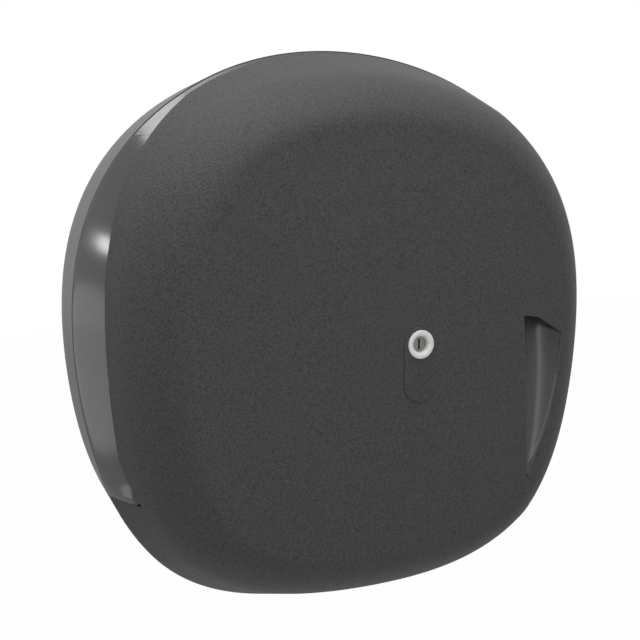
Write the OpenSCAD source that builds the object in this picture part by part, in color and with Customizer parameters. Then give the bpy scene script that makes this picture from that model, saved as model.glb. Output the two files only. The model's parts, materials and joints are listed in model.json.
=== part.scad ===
// Wall-mounted jumbo toilet roll dispenser: a rear case with a window at each side, a roll hub,
// and a textured cover that swings open on two concealed hinges at its left side.
// Frame: X to the right, Y into the wall, Z up. The wall plane is y = 0 and the hub axis is
// x = z = 0. Depths in this file are distances from the wall, so a depth d lies at y = -d.

/* [Body] */
// Overall width across the crease of the rear case
body_w = 368; // [360:1:376]
// Overall height
body_h = 378; // [370:1:386]
// Depth from the wall to the middle of the cover's face
body_d = 135; // [133:1:140]
// Wall thickness of the cover, the case and the windows
wall = 2.6; // [2.2:0.1:3]
// How much flatter than an ellipse the four sides are, as a share of the radius
squareness = 0.025; // [0.01:0.001:0.035]
// Lift of the widest point above the middle, as a share of the radius
high_hips = 0.0077; // [0:0.0005:0.012]
// Fullness of the lower corners, as a share of the radius
low_corners = -0.0026; // [-0.005:0.0002:0.004]
// Height of the crown in the middle of the face
crown = 4; // [2:0.1:5]
// Width of the rounding between side and face
round_w = 23; // [19:1:25]
// Depth of the rounding between side and face
round_d = 37; // [33:1:41]
// Inward slope of the side in front of the crease, in mm per mm of depth
side_slope = 0.36; // [0.3:0.01:0.38]
// Inward slope of the strip behind the crease, in mm per mm of depth
draft = 0.08; // [0:0.01:0.1]

/* [Joint between case and cover] */
// Depth of the cover's rear edge half way up the side
edge_mid = 85.5; // [83:0.5:88]
// How far the edge curves back towards the wall at the top
edge_bow = 31; // [28:1:33]
// How far the edge curves forward again at the foot of the window
edge_flare = 11; // [6:1:12]
// Depth of the crease in the case half way up the side
crease_mid = 51; // [49:1:54]
// Rise of the crease from the middle to the top
crease_rise = -3.5; // [-5:0.5:0]
// Curve of the crease
crease_bow = 13; // [10:1:15]
// Clearance between the cover's skirt and what it covers
skirt_gap = 0.5; // [0.4:0.05:0.8]
// Length of the lip that the skirt overlaps
lip = 6; // [4:0.5:7]
// Depth of the rear edge of the cover's chin
chin_dep = 8.5; // [8:0.1:10]
// Height of the chin, the part of the cover that closes the foot of the case
chin_h = 91; // [90:0.5:91.5]
// Distance from the top of the case down to the windows' top edge
window_drop = 58; // [55:1:67]
// Depth of the step between crease and window
window_reveal = 1.2; // [1:0.1:2]

/* [Wall mounting] */
// Thickness of the case's back plate
plate_t = 3.2; // [2.8:0.1:3.6]
// Distance between wall screws across
screw_w = 200; // [190:5:210]
// Distance between wall screws up and down
screw_h = 120; // [110:5:130]
// Radius of the wall screw holes
screw_hole_r = 3.2; // [2.5:0.1:4]
// Height of the bosses round the wall screw holes
boss_h = 6; // [4.5:0.5:7]
// Height of the stiffening ribs
rib_h = 4; // [2:0.5:5]

/* [Roll hub] */
// Radius of the sleeve that the roll's core slides over
hub_r = 28; // [26:0.5:30]
// Radius of the spindle that the sleeve turns on
spindle_r = 18; // [16:0.5:19]
// Running clearance of the sleeve on the spindle
spindle_fit = 0.06; // [0.03:0.01:0.09]
// Radius of the disc behind the roll
hub_disc_r = 55; // [45:1:60]
// Thickness of the felt washer that brakes the roll
washer_t = 2; // [1.5:0.1:2.5]

/* [Lock] */
// Distance of the lock to the right of the hub axis
lock_x = 18.5; // [18.3:0.1:19]
// Radius of the white collar
collar_r = 9.2; // [9:0.1:9.6]
// Radius of the key hole in the collar
key_hole_r = 5.1; // [4.9:0.1:5.4]
// Width of the oblong lock plate
lock_plate_w = 23; // [22:0.5:26]
// Length of the oblong lock plate
lock_plate_len = 49; // [44:1:54]
// How far the lock plate stands proud of the face
lock_plate_rise = 0.8; // [0.5:0.1:1.2]
// Reach of the cam from the lock's axis
cam_reach = 13; // [12.6:0.1:13.4]
// Radius of the keeper's head that the cam hooks behind
keeper_r = 7.8; // [7.4:0.1:8]

/* [Hinges] */
// Distance of the hinge axis from the case's left side
hinge_inset = 42; // [41.5:0.5:43]
// Depth of the hinge axis
hinge_dep = 45; // [44.5:0.5:46]
// Distance from the top of the case down to the underside of the upper hinge arm
hinge_drop = 89; // [88:0.5:89.5]
// Height of a hinge arm
arm_h = 12; // [11:0.5:13]
// Thickness of the hinge arms
arm_t = 3; // [2.6:0.1:3.4]
// Sideways reach of an arm from its pin to its leg
arm_reach = 38; // [37.5:0.5:39]
// Radius of the hinge pins
hinge_pin_r = 2.5; // [2:0.1:2.8]
// Running clearance of the arms on their pins
hinge_fit = 0.05; // [0.03:0.01:0.09]

/* [Paper outlet] */
// Width of the paper slot
slot_w = 124; // [116:2:128]
// Distance from the slot's front edge to the crease in front of it
slot_lip = 2; // [1.5:0.1:3]
// Distance between the outsides of the two guide cheeks
guide_w = 118; // [100:2:119]
// Pitch of the tear bars' teeth
tooth_pitch = 4; // [3:0.5:6]
// Height of the tear bars' teeth
tooth_h = 2.5; // [2:0.5:3]

/* [Grip recess] */
// Distance of the recess's left edge from the hub axis at its foot
grip_left = 107; // [104:1:110]
// Height of the recess's top left corner above the hub axis
grip_top = 13.5; // [6:0.5:20]
// Length of the recess
grip_len = 112; // [100:1:116]
// Depth of the recess under its top edge
grip_deep = 14; // [10:0.5:15]

/* [Hidden] */

$fn = 64;
eps = 0.01;
play = 0.3;            // gap between curved pieces of different bodies
snug = 0.15;           // gap between moulded pieces that are clipped together
step = 72;             // stations round the outline

// Colours
ink = [0.26, 0.26, 0.27];
smoke = [0.33, 0.33, 0.34];
steel = [0.72, 0.73, 0.75];
nylon = [0.85, 0.85, 0.84];
core_grey = [0.5, 0.5, 0.48];
felt = [0.3, 0.3, 0.29];

// ---- Outline -------------------------------------------------------------------------------
// The outline is a circle with three low waves, stretched to the overall width and height.
// Its angle runs clockwise from the top.
function wave(t) = 1 - squareness * cos(4 * t) + high_hips * cos(5 * t) + low_corners * cos(3 * t);
fine = [for (i = [0:359]) i];
half_x = max([for (t = fine) wave(t) * sin(t)]);
top_z = max([for (t = fine) wave(t) * cos(t)]);
low_z = min([for (t = fine) wave(t) * cos(t)]);
scale_x = body_w / 2 / half_x;
scale_z = body_h / (top_z - low_z);
function outline(t) = [scale_x * wave(t) * sin(t), scale_z * (wave(t) * cos(t) - (top_z + low_z) / 2)];
function inward(t) = let (d = outline(t + 0.5) - outline(t - 0.5)) [d[1], -d[0]] / norm(d);
// A point on the outline moved inwards, then drawn towards the hub axis by a share f
function station(t, inset, f = 1) = f * (outline(t) + inset * inward(t));
function place(t, p) = let (s = station(t, p[0], len(p) > 2 ? p[2] : 1)) [s[0], -p[1], s[1]];

// ---- Side profile --------------------------------------------------------------------------
chin_z = body_h / 2 - chin_h;          // height below the hub axis at which the chin begins
chin_share = chin_z / (body_h / 2);
function height_share(t) = outline(t)[1] / (body_h / 2);
flare_span = 0.19;     // the flare's height, as a share of half the body's height
function edge_bowed(h) = edge_mid - edge_bow * h * h;
function edge_at(h) = edge_bowed(h) + edge_flare * pow(min(max(0, -h - chin_share + flare_span) / flare_span, 1), 2);
function edge(t) = edge_at(height_share(t));
function crease(t) = let (h = height_share(t))
    min(crease_mid + crease_rise * h + crease_bow * h * h, edge_bowed(h) - lip);
face_rim = body_d - crown;
round_start = face_rim - round_d;
function quarter(u) = 1 - sqrt(1 - pow(min(max(u, 0), 1), 2));
function cover_inset(t, d) = draft * max(0, crease(t) - d) + side_slope * max(0, d - crease(t))
    + round_w * quarter((d - round_start) / round_d);
overlap_inset = wall + skirt_gap;
// The case follows the outline up to the crease, then slopes in to pass under the skirt
function case_inset(t, d) = let (c = crease(t), e = edge(t))
    d <= c ? cover_inset(t, d)
    : d <= e ? (cover_inset(t, e) + overlap_inset) * (d - c) / (e - c)
    : cover_inset(t, d) + overlap_inset;
back_round = 2;
function back_inset(d) = back_round * pow(1 - min(d / (2 * back_round), 1), 2);

// ---- Swept skins ---------------------------------------------------------------------------
// Sweeps a section round the outline. The section is a list of [inset, depth, share] points.
// A closed section in a full turn is a band; an open one is capped at both ends as a bowl.
module sweep(angles, sections, full_turn, bowl) {
    n = len(angles);
    m = len(sections[0]);
    points = [for (i = [0:n - 1]) for (p = sections[i]) place(angles[i], p)];
    strips = [
        for (i = [0:n - (full_turn ? 1 : 2)]) for (j = [0:m - (bowl ? 2 : 1)])
            let (k = (i + 1) % n, l = (j + 1) % m, a = i * m + j, b = k * m + j, c = k * m + l, d = i * m + l)
                for (face = [[a, b, c], [a, c, d]]) face
    ];
    caps = bowl
        ? [[for (i = [n - 1:-1:0]) i * m], [for (i = [0:n - 1]) i * m + m - 1]]
        : full_turn ? [] : [[for (j = [m - 1:-1:0]) (n - 1) * m + j], [for (j = [0:m - 1]) j]];
    polyhedron(points, concat(strips, caps), convexity = 10);
}
turn = [for (i = [0:step - 1]) i * 360 / step];
window_top = body_h / 2 - window_drop;
// Angle on the right half at which the outline has a given height
function angle_at(z, low = 0, high = 180) = high - low < 0.001 ? low
    : let (mid = (low + high) / 2) outline(mid)[1] > z ? angle_at(z, mid, high) : angle_at(z, low, mid);
chin_start = angle_at(-chin_z);
nick = 0.05;           // half width of the sharp step where a rim changes depth
function in_chin(t) = t > chin_start && t < 360 - chin_start;
function by_angle(list) = len(list) < 2 ? list
    : let (p = list[floor(len(list) / 2)])
        concat(by_angle([for (t = list) if (t < p) t]), [p], by_angle([for (t = list) if (t > p) t]));
clear_turn = [for (t = turn) if (abs(t - chin_start) > 1 && abs(360 - t - chin_start) > 1) t];
stepped_turn = by_angle(concat(clear_turn,
    [chin_start - nick, chin_start + nick, 360 - chin_start - nick, 360 - chin_start + nick]));

// ---- Small shapes --------------------------------------------------------------------------
module at(x, d, z) translate([x, -d, z]) children();
// Round bar along the depth, from depth d0 to depth d1
module bar(r, d0, d1) translate([0, -d0, 0]) rotate([90, 0, 0]) cylinder(r = r, h = d1 - d0);
module tube(outer, inner, d0, d1) difference() {
    bar(outer, d0, d1);
    bar(inner, d0 - 1, d1 + 1);
}
// Block between two corners given as [x, depth, z]
module block(a, b) translate([a[0], -b[1], a[2]]) cube([b[0] - a[0], b[1] - a[1], b[2] - a[2]]);
// Plane shape drawn as [x, z] and given thickness from depth d0 to depth d1
module sheet(d0, d1) translate([0, -d0, 0]) rotate([90, 0, 0]) linear_extrude(d1 - d0) children();
// Plane shape drawn as [-depth, z] and given thickness from x0 to x1
module side_sheet(x0, x1) translate([x0, 0, 0]) rotate([90, 0, 90]) linear_extrude(x1 - x0) children();
module both_sides() {
    children();
    mirror([1, 0, 0]) children();
}
// Pan-head screw along the depth: head at depth 0 and forward, shank back by its length
screw_r = 1.8;
head_r = 3.4;
head_t = 1.8;
hole_r = screw_r + 0.1;
module screw(length) {
    bar(screw_r, -length, eps);
    difference() {
        bar(head_r, 0, head_t);
        for (a = [0, 90]) rotate([0, a, 0]) block([-2, head_t - 0.9, -0.5], [2, head_t + 1, 0.5]);
    }
}
module hole(d0, d1) bar(hole_r, d0, d1);

// ---- Skins ---------------------------------------------------------------------------------
case_rear = 0.8;
rear_depths = [case_rear, back_round, 2 * back_round];
function case_point(t, d, extra) = [case_inset(t, d) + back_inset(d) + extra, d];
module case_band() {
    sections = [for (t = turn) let (
            c = crease(t), e = edge(t), depths = concat(rear_depths, [c, (c + e) / 2, e, e + lip])
        ) concat([for (i = [0:6]) case_point(t, depths[i], 0)],
                 [for (i = [6:-1:0]) case_point(t, depths[i], wall)])];
    sweep(turn, sections, true, false);
}
// Everything in front of the crease, in a ring that is wider than the band
module ahead_of_crease() {
    sections = [for (t = turn) let (c = crease(t) + window_reveal)
        [[-wall, c], [-wall, body_d], [10 * wall, body_d], [10 * wall, c]]];
    sweep(turn, sections, true, false);
}
// Flat layer that fills the case at a depth, kept away from its outside by an inset
module case_layer(d0, d1, inset) sheet(d0, d1)
    polygon([for (t = turn) station(t, case_inset(t, d0) + inset)]);

// The cover's profile: depths close together where it turns into the face, then rings on the face
face_shares = [0.7, 0.36];
middle = face_shares[1];   // share of the face that is flat
function face_drop(s) = crown * (s * s - middle * middle) / (1 - middle * middle);
function rear_rings(t) = let (e = edge(t)) in_chin(t) ? [chin_dep, crease(t), e] : [e, e + 2, e + 4];
// The cover from its rear rings to the middle of its face, moved in and back by one thickness
function cover_section(t, thick, rear, rings) = let (
        r = rear[len(rear) - 1], f = face_rim - thick, whole = cover_inset(t, face_rim) + thick
    ) concat([for (d = rear) [cover_inset(t, d) + thick, d]],
             [for (i = [1:rings]) let (p = sin(90 * i / rings), d = r + (f - r) * p)
                [cover_inset(t, d + thick * p) + thick, d]],
             [for (s = face_shares) [whole, body_d - thick - face_drop(s), s]]);
function backwards(list) = [for (i = [len(list) - 1:-1:0]) list[i]];
side_rings = 7;
module cover_shell() {
    sections = [for (t = stepped_turn) let (r = rear_rings(t))
        concat(backwards(cover_section(t, wall, r, side_rings)), cover_section(t, 0, r, side_rings))];
    sweep(stepped_turn, sections, true, true);
}
// The front of the cover as a filled solid, moved in by a thickness; coarse is for trimming bosses
module cover_core(thick, coarse) {
    angles = coarse ? [for (i = [0:2:step - 1]) turn[i]] : turn;
    rings = coarse ? 4 : side_rings;
    sweep(angles, [for (t = angles) cover_section(t, thick, [core_rear], rings)], true, true);
}

// ---- Depths and places ---------------------------------------------------------------------
half_w = body_w / 2;
hinge_x = hinge_inset - half_w;
hinge_z = body_h / 2 - hinge_drop;     // near side of each hinge arm, above or below the hub axis
pad_t = 2.5;           // raised pad under whatever is screwed to the back plate
pad_front = plate_t + pad_t;
flange_front = pad_front + 4;
disc_back = flange_front + washer_t + 0.1;
disc_front = disc_back + 2.5;
sleeve_front = body_d - 35;
foot_dep = body_d - 35;
core_rear = foot_dep - 5;
spindle_front = sleeve_front + 0.3;
keeper_back = body_d - 12;
keeper_front = body_d - 9;
pilot_back = 0.8;      // how near the wall a screw's pilot hole comes
screw_tip = 1;         // how near the wall a screw's tip comes
sleeve_end = body_d - 12.75;
lock_seat = body_d - 4;
barrel_face = body_d - 1.5;
cam_front = body_d - 12.9;
cam_back = cam_front - 2.5;
thread_r = 7;          // radius of the collar's sleeve
shaft_r = 4.25;        // radius of the barrel's shaft
lock_fit = 0.06;       // running clearance of the barrel in the collar

// ---- Case ----------------------------------------------------------------------------------
window_foot = 0.5 - chin_z;
window_screw_z = 50;
post_x = half_w - 20;
tab_dep = 46.5;
tab_t = 3;
bracket_len = 16;
bracket_z = hinge_z - bracket_len;     // near end of each hinge bracket, above or below the hub axis
bracket_holes = [-9, 10];
upper_bracket_top = hinge_z - play;
lower_bracket_foot = max(-upper_bracket_top, 2.5 - chin_z);
flange_r = 34;
flange_screw_r = 28;
guide_foot = 16 - body_h / 2;
guide_top = guide_foot + 27;
guide_hole_x = 40;
guide_hole_z = guide_foot + 14;
slot_top = guide_foot + 23;
slot_front = crease(180) - slot_lip;
cheek_t = 3;
cheek_front = slot_front - 1;
cheek_rise = 3;       // rise of a cheek's lower edge from the wall to its front end
module at_wall_screws() for (x = [-1, 1], z = [-1, 1]) at(x * screw_w / 2, 0, z * screw_h / 2) children();
module at_flange_screws() for (a = [45:90:315]) at(flange_screw_r * cos(a), 0, flange_screw_r * sin(a)) children();
module at_window_screws() both_sides() for (z = [-1, 1]) at(post_x, 0, z * window_screw_z) children();
module at_bracket_screws() for (x = bracket_holes, z = [bracket_z + upper_bracket_top, lower_bracket_foot - bracket_z])
    at(hinge_x + x, 0, z / 2) children();
module at_guide_screws() for (x = [-1, 1]) at(x * guide_hole_x, 0, guide_hole_z) children();

module case_ribs() {
    top = plate_t + rib_h;
    both_sides() block([70, plate_t - eps, -140], [72, top, 155]);
    for (z = [-105, 105, 150]) block([-71, plate_t - eps, z - 1], [71, top, z + 1]);
    both_sides() for (z = [-30, 0, 30]) block([71, plate_t - eps, z - 1], [half_w - 14, top, z + 1]);
}
module case_pads() {
    bar(flange_r + 3, plate_t - eps, pad_front);
    for (z = [[bracket_z, upper_bracket_top], [lower_bracket_foot, -bracket_z]])
        block([hinge_x - 15, plate_t - eps, z[0]], [hinge_x + 17, pad_front, z[1]]);
    block([-guide_w / 2, plate_t - eps, guide_foot], [guide_w / 2, pad_front, guide_top]);
    at_wall_screws() bar(8, plate_t - eps, plate_t + boss_h);
    at_window_screws() bar(4.5, plate_t - eps, tab_dep);
}
module rear_case() color(ink) difference() {
    union() {
        difference() {
            case_band();
            block([-body_w, chin_dep - 3, -body_h], [body_w, body_d, -chin_z]);
            intersection() {
                ahead_of_crease();
                block([-body_w, 0, -chin_z - 1], [body_w, body_d, window_top]);
            }
        }
        case_layer(0, plate_t, wall / 2);
        case_ribs();
        case_pads();
    }
    at_wall_screws() bar(screw_hole_r, -1, plate_t + boss_h + 1);
    at_flange_screws() hole(pilot_back, pad_front + 1);
    at_bracket_screws() hole(pilot_back, pad_front + 1);
    at_guide_screws() hole(pilot_back, pad_front + 1);
    at_window_screws() hole(tab_dep - 14, tab_dep + 1);
}

// ---- Windows -------------------------------------------------------------------------------
window_turn = [for (t = turn) if (t > angle_at(window_top) - 10 && t < chin_start + 10) t];
module window_side() {
    flange = wall + snug;
    sections = [for (t = window_turn) let (
            c = crease(t), e = edge(t), back = c - lip, base = c + window_reveal + snug,
            depths = [(c + e) / 2, e, e + lip]
        ) concat([case_point(t, base, 0)],
                 [for (d = depths) case_point(t, d, 0)],
                 [for (i = [2:-1:0]) case_point(t, depths[i], wall)],
                 [case_point(t, base + 0.8, flange + 2), case_point(t, back, flange + 2),
                  case_point(t, back, flange), case_point(t, base, flange)])];
    intersection() {
        sweep(window_turn, sections, false, false);
        block([0, 0, window_foot], [body_w, body_d, window_top - snug]);
    }
}
module window_right() color(smoke) difference() {
    union() {
        window_side();
        for (z = [-1, 1]) intersection() {
            block([post_x - 6, tab_dep, z * window_screw_z - 6], [half_w, tab_dep + tab_t, z * window_screw_z + 6]);
            case_layer(tab_dep, tab_dep + tab_t, wall + snug + 0.5);
        }
    }
    at_window_screws() hole(tab_dep - 1, tab_dep + tab_t + 1);
}
module window_left() color(smoke) mirror([1, 0, 0]) window_right();
module window_screws() color(steel) at_window_screws() at(0, tab_dep + tab_t, 0) screw(tab_t + 12);

// ---- Roll hub ------------------------------------------------------------------------------
bearing_len = 14;      // length of the bearing at each end of the sleeve
keeper_thread = 12;    // depth of the keeper screw's hole in the spindle
keeper_base_t = 3;
keeper_cone = [11, 4, 8];   // the keeper's radius at the foot and top of its cone, and its height
module hub_spindle() color(ink) difference() {
    union() {
        bar(flange_r, pad_front, flange_front);
        bar(spindle_r, flange_front - eps, spindle_front);
    }
    bar(spindle_r - 4, pad_front - 1, spindle_front - bearing_len);
    hole(spindle_front - keeper_thread, spindle_front + 1);
    at_flange_screws() hole(pad_front - 1, flange_front + 1);
}
module spindle_screws() color(steel) at_flange_screws() at(0, flange_front, 0) screw(flange_front - screw_tip);
module brake_washer() color(felt) tube(flange_screw_r - 5, spindle_r + play, flange_front, flange_front + washer_t);
spigot_r = hub_r - 4;
module roll_disc() color(ink) tube(hub_disc_r, spigot_r + 0.02, disc_back, disc_front);
module roll_sleeve() color(ink) difference() {
    union() {
        bar(spigot_r, disc_back, disc_front + eps);
        bar(hub_r, disc_front, sleeve_front - 1.5);
        translate([0, 1.5 - sleeve_front, 0]) rotate([90, 0, 0]) cylinder(r1 = hub_r, r2 = hub_r - 1.5, h = 1.5);
    }
    bar(spindle_r + spindle_fit, disc_back - 1, sleeve_front + 1);
    bar(hub_r - wall, disc_front + bearing_len, sleeve_front - bearing_len);
}
module lock_keeper() color(nylon) difference() {
    union() {
        bar(spindle_r + 4, spindle_front, spindle_front + keeper_base_t);
        at(0, spindle_front + keeper_base_t, 0) rotate([90, 0, 0])
            cylinder(r1 = keeper_cone[0], r2 = keeper_cone[1], h = keeper_cone[2]);
        bar(keeper_cone[1], spindle_front, keeper_back + eps);
        bar(keeper_r, keeper_back, keeper_front);
    }
    hole(spindle_front - 1, keeper_front + 1);
    bar(head_r + 0.2, keeper_front - head_t, keeper_front + 1);
}
module keeper_screw() color(steel) at(0, keeper_front - head_t, 0)
    screw(keeper_front - head_t - spindle_front + keeper_thread - 2);

// ---- Hinges --------------------------------------------------------------------------------
module at_hinge(z) translate([hinge_x, -hinge_dep, z]) children();
// Bracket between two heights, with its pin's bore
module hinge_bracket(z0, z1) difference() {
    union() {
        block([hinge_x - 14, pad_front, z0], [hinge_x + 16, pad_front + 3, z1]);
        block([hinge_x - 2.5, pad_front, z0], [hinge_x + 2.5, hinge_dep, z1]);
        at_hinge(z0) cylinder(r = 6.5, h = z1 - z0);
    }
    at_hinge(z0 - 1) cylinder(r = hinge_pin_r + 0.02, h = z1 - z0 + 2);
    at_bracket_screws() hole(pad_front - 1, pad_front + 4);
}
module hinge_bracket_upper() color(steel) hinge_bracket(bracket_z, upper_bracket_top);
module hinge_bracket_lower() color(steel) hinge_bracket(lower_bracket_foot, -bracket_z);
module bracket_screws() color(steel) at_bracket_screws() at(0, pad_front + 3, 0) screw(pad_front + 3 - screw_tip);
pin_head_z = hinge_z + arm_h + play;
module hinge_pin_upper() color(steel) {
    at_hinge(bracket_z + 0.5) cylinder(r = hinge_pin_r, h = pin_head_z - bracket_z - 0.5 + eps);
    at_hinge(pin_head_z) cylinder(r = hinge_pin_r + 1.6, h = 1.6);
}
module hinge_pin_lower() color(steel) mirror([0, 0, 1]) hinge_pin_upper();
// Gooseneck arm: knuckle on the pin, crossbar away from the case's rim, leg to the cover, foot
foot_len = 16;
foot_holes = [12, 4.5];     // distances of the foot's screws from the leg
leg_x = hinge_x + arm_reach;
arm_screw_x = [leg_x - foot_holes[0], leg_x - foot_holes[1]];
arm_z = hinge_z + arm_h / 2;
module at_arm_screws() for (x = arm_screw_x) at(x, foot_dep, arm_z) children();
module hinge_arm_upper() color(steel) {
    far = leg_x + arm_t;
    back = hinge_dep - arm_t / 2;
    top = hinge_z + arm_h;
    difference() {
        union() {
            at_hinge(hinge_z) cylinder(r = hinge_pin_r + 3, h = arm_h);
            block([hinge_x, back, hinge_z], [far, back + arm_t, top]);
            block([leg_x, back, hinge_z], [far, foot_dep, top]);
            block([leg_x - foot_len, foot_dep - arm_t, hinge_z], [far, foot_dep, top]);
        }
        at_hinge(hinge_z - 1) cylinder(r = hinge_pin_r + hinge_fit, h = arm_h + 2);
        at_arm_screws() hole(-arm_t - 1, 1);
    }
}
module hinge_arm_lower() color(steel) mirror([0, 0, 1]) hinge_arm_upper();
module arm_screws() color(steel) for (m = [0, 1]) mirror([0, 0, m])
    at_arm_screws() at(0, -arm_t, 0) mirror([0, 1, 0]) screw(arm_t + 10);

// ---- Paper outlet --------------------------------------------------------------------------
function cheek_edge(d) = guide_foot + cheek_rise * (d - pad_front) / (cheek_front - pad_front);
module paper_guide() color(ink) difference() {
    union() {
        block([-guide_w / 2, pad_front, guide_foot], [guide_w / 2, pad_front + 3, guide_top]);
        both_sides() side_sheet(guide_w / 2 - cheek_t, guide_w / 2) polygon([
            [-pad_front, guide_top], [-pad_front, guide_foot],
            [-cheek_front, cheek_edge(cheek_front)], [-cheek_front, guide_top]
        ]);
    }
    at_guide_screws() hole(pad_front - 1, pad_front + 4);
    at_tear_screws() hole(-cheek_t - 1, 1);
}
module guide_screws() color(steel) at_guide_screws() at(0, pad_front + 3, 0) screw(pad_front + 3 - screw_tip);
tear_t = 1.2;
tear_back = 14;
tear_teeth = floor((cheek_front - 2 - tear_back) / tooth_pitch);
tear_front = tear_back + tear_teeth * tooth_pitch;
tear_h = 9;
// Each tear bar is screwed to the outside of its cheek
module at_tear_screws() both_sides() for (d = [tear_back + 6, tear_front - 6])
    translate([guide_w / 2, -d, cheek_edge(d) + 5]) rotate([0, 0, 90]) children();
module tear_bar_right() color(steel) difference() {
    side_sheet(guide_w / 2, guide_w / 2 + tear_t) polygon(concat(
        [[-tear_front, cheek_edge(tear_front) + tear_h], [-tear_back, cheek_edge(tear_back) + tear_h]],
        [for (i = [0:tear_teeth - 1]) let (d = tear_back + i * tooth_pitch, m = d + tooth_pitch / 2)
            for (p = [[-d, cheek_edge(d)], [-m, cheek_edge(m) - tooth_h]]) p],
        [[-tear_front, cheek_edge(tear_front)]]
    ));
    at_tear_screws() hole(-1, tear_t + 1);
}
module tear_bar_left() color(steel) mirror([1, 0, 0]) tear_bar_right();
module tear_bar_screws() color(steel) at_tear_screws() at(0, tear_t, 0) screw(tear_t + cheek_t - 0.2);

// ---- Grip recess ---------------------------------------------------------------------------
grip_foot = grip_top - grip_len;
grip_face = body_d - 0.78 * crown;
grip_rim_t = 1.2;      // thickness of the insert's rim
grip_skin = 2;         // thickness of the insert's floor
// The right side of the recess follows the line where the face turns into the rounding
grip_inset = round_w + side_slope * (face_rim - crease_mid);
grip_corner_z = grip_top - 11.5;
module grip_outline() {
    right_side = [for (t = [80:1.5:140]) let (s = station(t, grip_inset))
        if (s[1] < grip_corner_z && s[1] > grip_foot + 4 && s[0] > grip_left + 1) s];
    polygon(concat([[grip_left - 7.4, grip_top], [grip_left + 4.4, grip_top - 1.6]], right_side,
                   [[grip_left, grip_foot]]));
}
module grip_prism(grow) sheet(body_d - 40, body_d + 1) offset(r = grow, $fn = 24) grip_outline();
// Hollow that deepens from the foot to the top, swollen by grow
module grip_hollow(grow) hull() {
    at(grip_left + 1, grip_face + 8, grip_foot - 2) sphere(r = 8 + grow, $fn = 24);
    at(grip_left + 15, grip_face - grip_deep + 36, grip_top) sphere(r = 36 + grow, $fn = 64);
}
module grip_insert() color(smoke) difference() {
    intersection() {
        grip_prism(grip_rim_t);
        cover_core(0, false);
        union() {
            grip_hollow(grip_skin);
            block([0, grip_face - wall - 1, grip_foot - 5], [half_w, body_d, grip_top + 5]);
        }
    }
    intersection() {
        grip_prism(0);
        grip_hollow(0);
    }
}

// ---- Cover ---------------------------------------------------------------------------------
pocket = 1.2;          // depth of the pocket that the lock plate sits in
module at_lock() at(lock_x, 0, 0) children();
// Oblong that is round about the lock's axis at its upper end
module oblong(w, len, d0, d1) at_lock() {
    bar(w / 2, d0, d1);
    at(0, 0, w - len) bar(w / 2, d0, d1);
    block([-w / 2, d0, w - len], [w / 2, d1, 0]);
}
module cover_bosses() {
    $fn = 24;
    for (m = [0, 1]) mirror([0, 0, m]) {
        for (x = arm_screw_x) at(x, 0, arm_z) bar(4.2, foot_dep, body_d);
        block([arm_screw_x[0], foot_dep, arm_z - 1.5], [arm_screw_x[1], body_d, arm_z + 1.5]);
        block([arm_screw_x[0] - 30, foot_dep + 8, arm_z - 1], [arm_screw_x[0], body_d, arm_z + 1]);
    }
    at_lock() bar(13, body_d - 4.6, body_d);
    for (z = [-60, 60]) block([-110, face_rim - 6, z - 1], [90, body_d, z + 1]);
    for (x = [-60, 60]) block([x - 1, face_rim - 6, -120], [x + 1, body_d, 120]);
}
// Squares off the top of the chin, from its rear edge to the edge of the skirt
module chin_top() {
    z = -chin_z - skirt_gap;
    block([-body_w, 0, z], [body_w, edge_at(z / (body_h / 2)), z + 12]);
}
module front_cover() color(ink) difference() {
    union() {
        cover_shell();
        intersection() {
            cover_core(wall / 2, true);
            cover_bosses();
        }
    }
    chin_top();
    block([-slot_w / 2, 0, -body_h], [slot_w / 2, slot_front, slot_top]);
    oblong(lock_plate_w + 0.2, lock_plate_len + 0.2, body_d - pocket, body_d + 1);
    at_lock() bar(thread_r + 0.1, body_d - 10, body_d + 1);
    grip_prism(grip_rim_t + 0.05);
    for (m = [0, 1]) mirror([0, 0, m]) at_arm_screws() hole(-1, 12);
}
module lock_plate() color(ink) difference() {
    oblong(lock_plate_w, lock_plate_len, body_d - pocket, body_d + lock_plate_rise);
    at_lock() bar(thread_r + 0.1, body_d - 10, body_d + 5);
}
module lock_collar() color(nylon) at_lock() {
    seat = body_d + lock_plate_rise;
    difference() {
        union() {
            bar(thread_r, sleeve_end, seat + eps);
            bar(collar_r, seat, seat + 0.7);
            translate([0, -seat - 0.7, 0]) rotate([90, 0, 0]) cylinder(r1 = collar_r, r2 = collar_r - 0.5, h = 0.5);
        }
        bar(key_hole_r, lock_seat, seat + 2);
        bar(shaft_r + lock_fit, sleeve_end - 1, lock_seat + 1);
    }
}
module lock_nut() color(steel) at_lock() difference() {
    rotate([0, 30, 0]) translate([0, 4.6 - body_d, 0]) rotate([-90, 0, 0]) cylinder(r = 10.5, h = 4, $fn = 6);
    bar(thread_r + 0.02, body_d - 10, body_d);
}
// Square end on which the cam sits
tang = 6;
module lock_barrel() color(core_grey) at_lock() difference() {
    union() {
        bar(key_hole_r - lock_fit, lock_seat + 0.05, barrel_face);
        bar(shaft_r, cam_front + 0.1, lock_seat + 0.05 + eps);
        block([-tang / 2, cam_back, -tang / 2], [tang / 2, cam_front + 0.1 + eps, tang / 2]);
    }
    block([-0.8, barrel_face - 2, -3.4], [0.8, body_d, 3.4]);
    hole(cam_back - 1, cam_back + 9);
}
module lock_cam() color(steel) at_lock() difference() {
    tip_r = 3.5;
    union() {
        bar(6.5, cam_back, cam_front);
        block([-tip_r, cam_back, tip_r - cam_reach], [tip_r, cam_front, 0]);
        at(0, 0, tip_r - cam_reach) bar(tip_r, cam_back, cam_front);
    }
    block([-tang / 2 - 0.02, cam_back - 1, -tang / 2 - 0.02], [tang / 2 + 0.02, cam_front + 1, tang / 2 + 0.02]);
}
module cam_screw() color(steel) at_lock() at(0, cam_back, 0) mirror([0, 1, 0]) screw(8.5);

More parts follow.
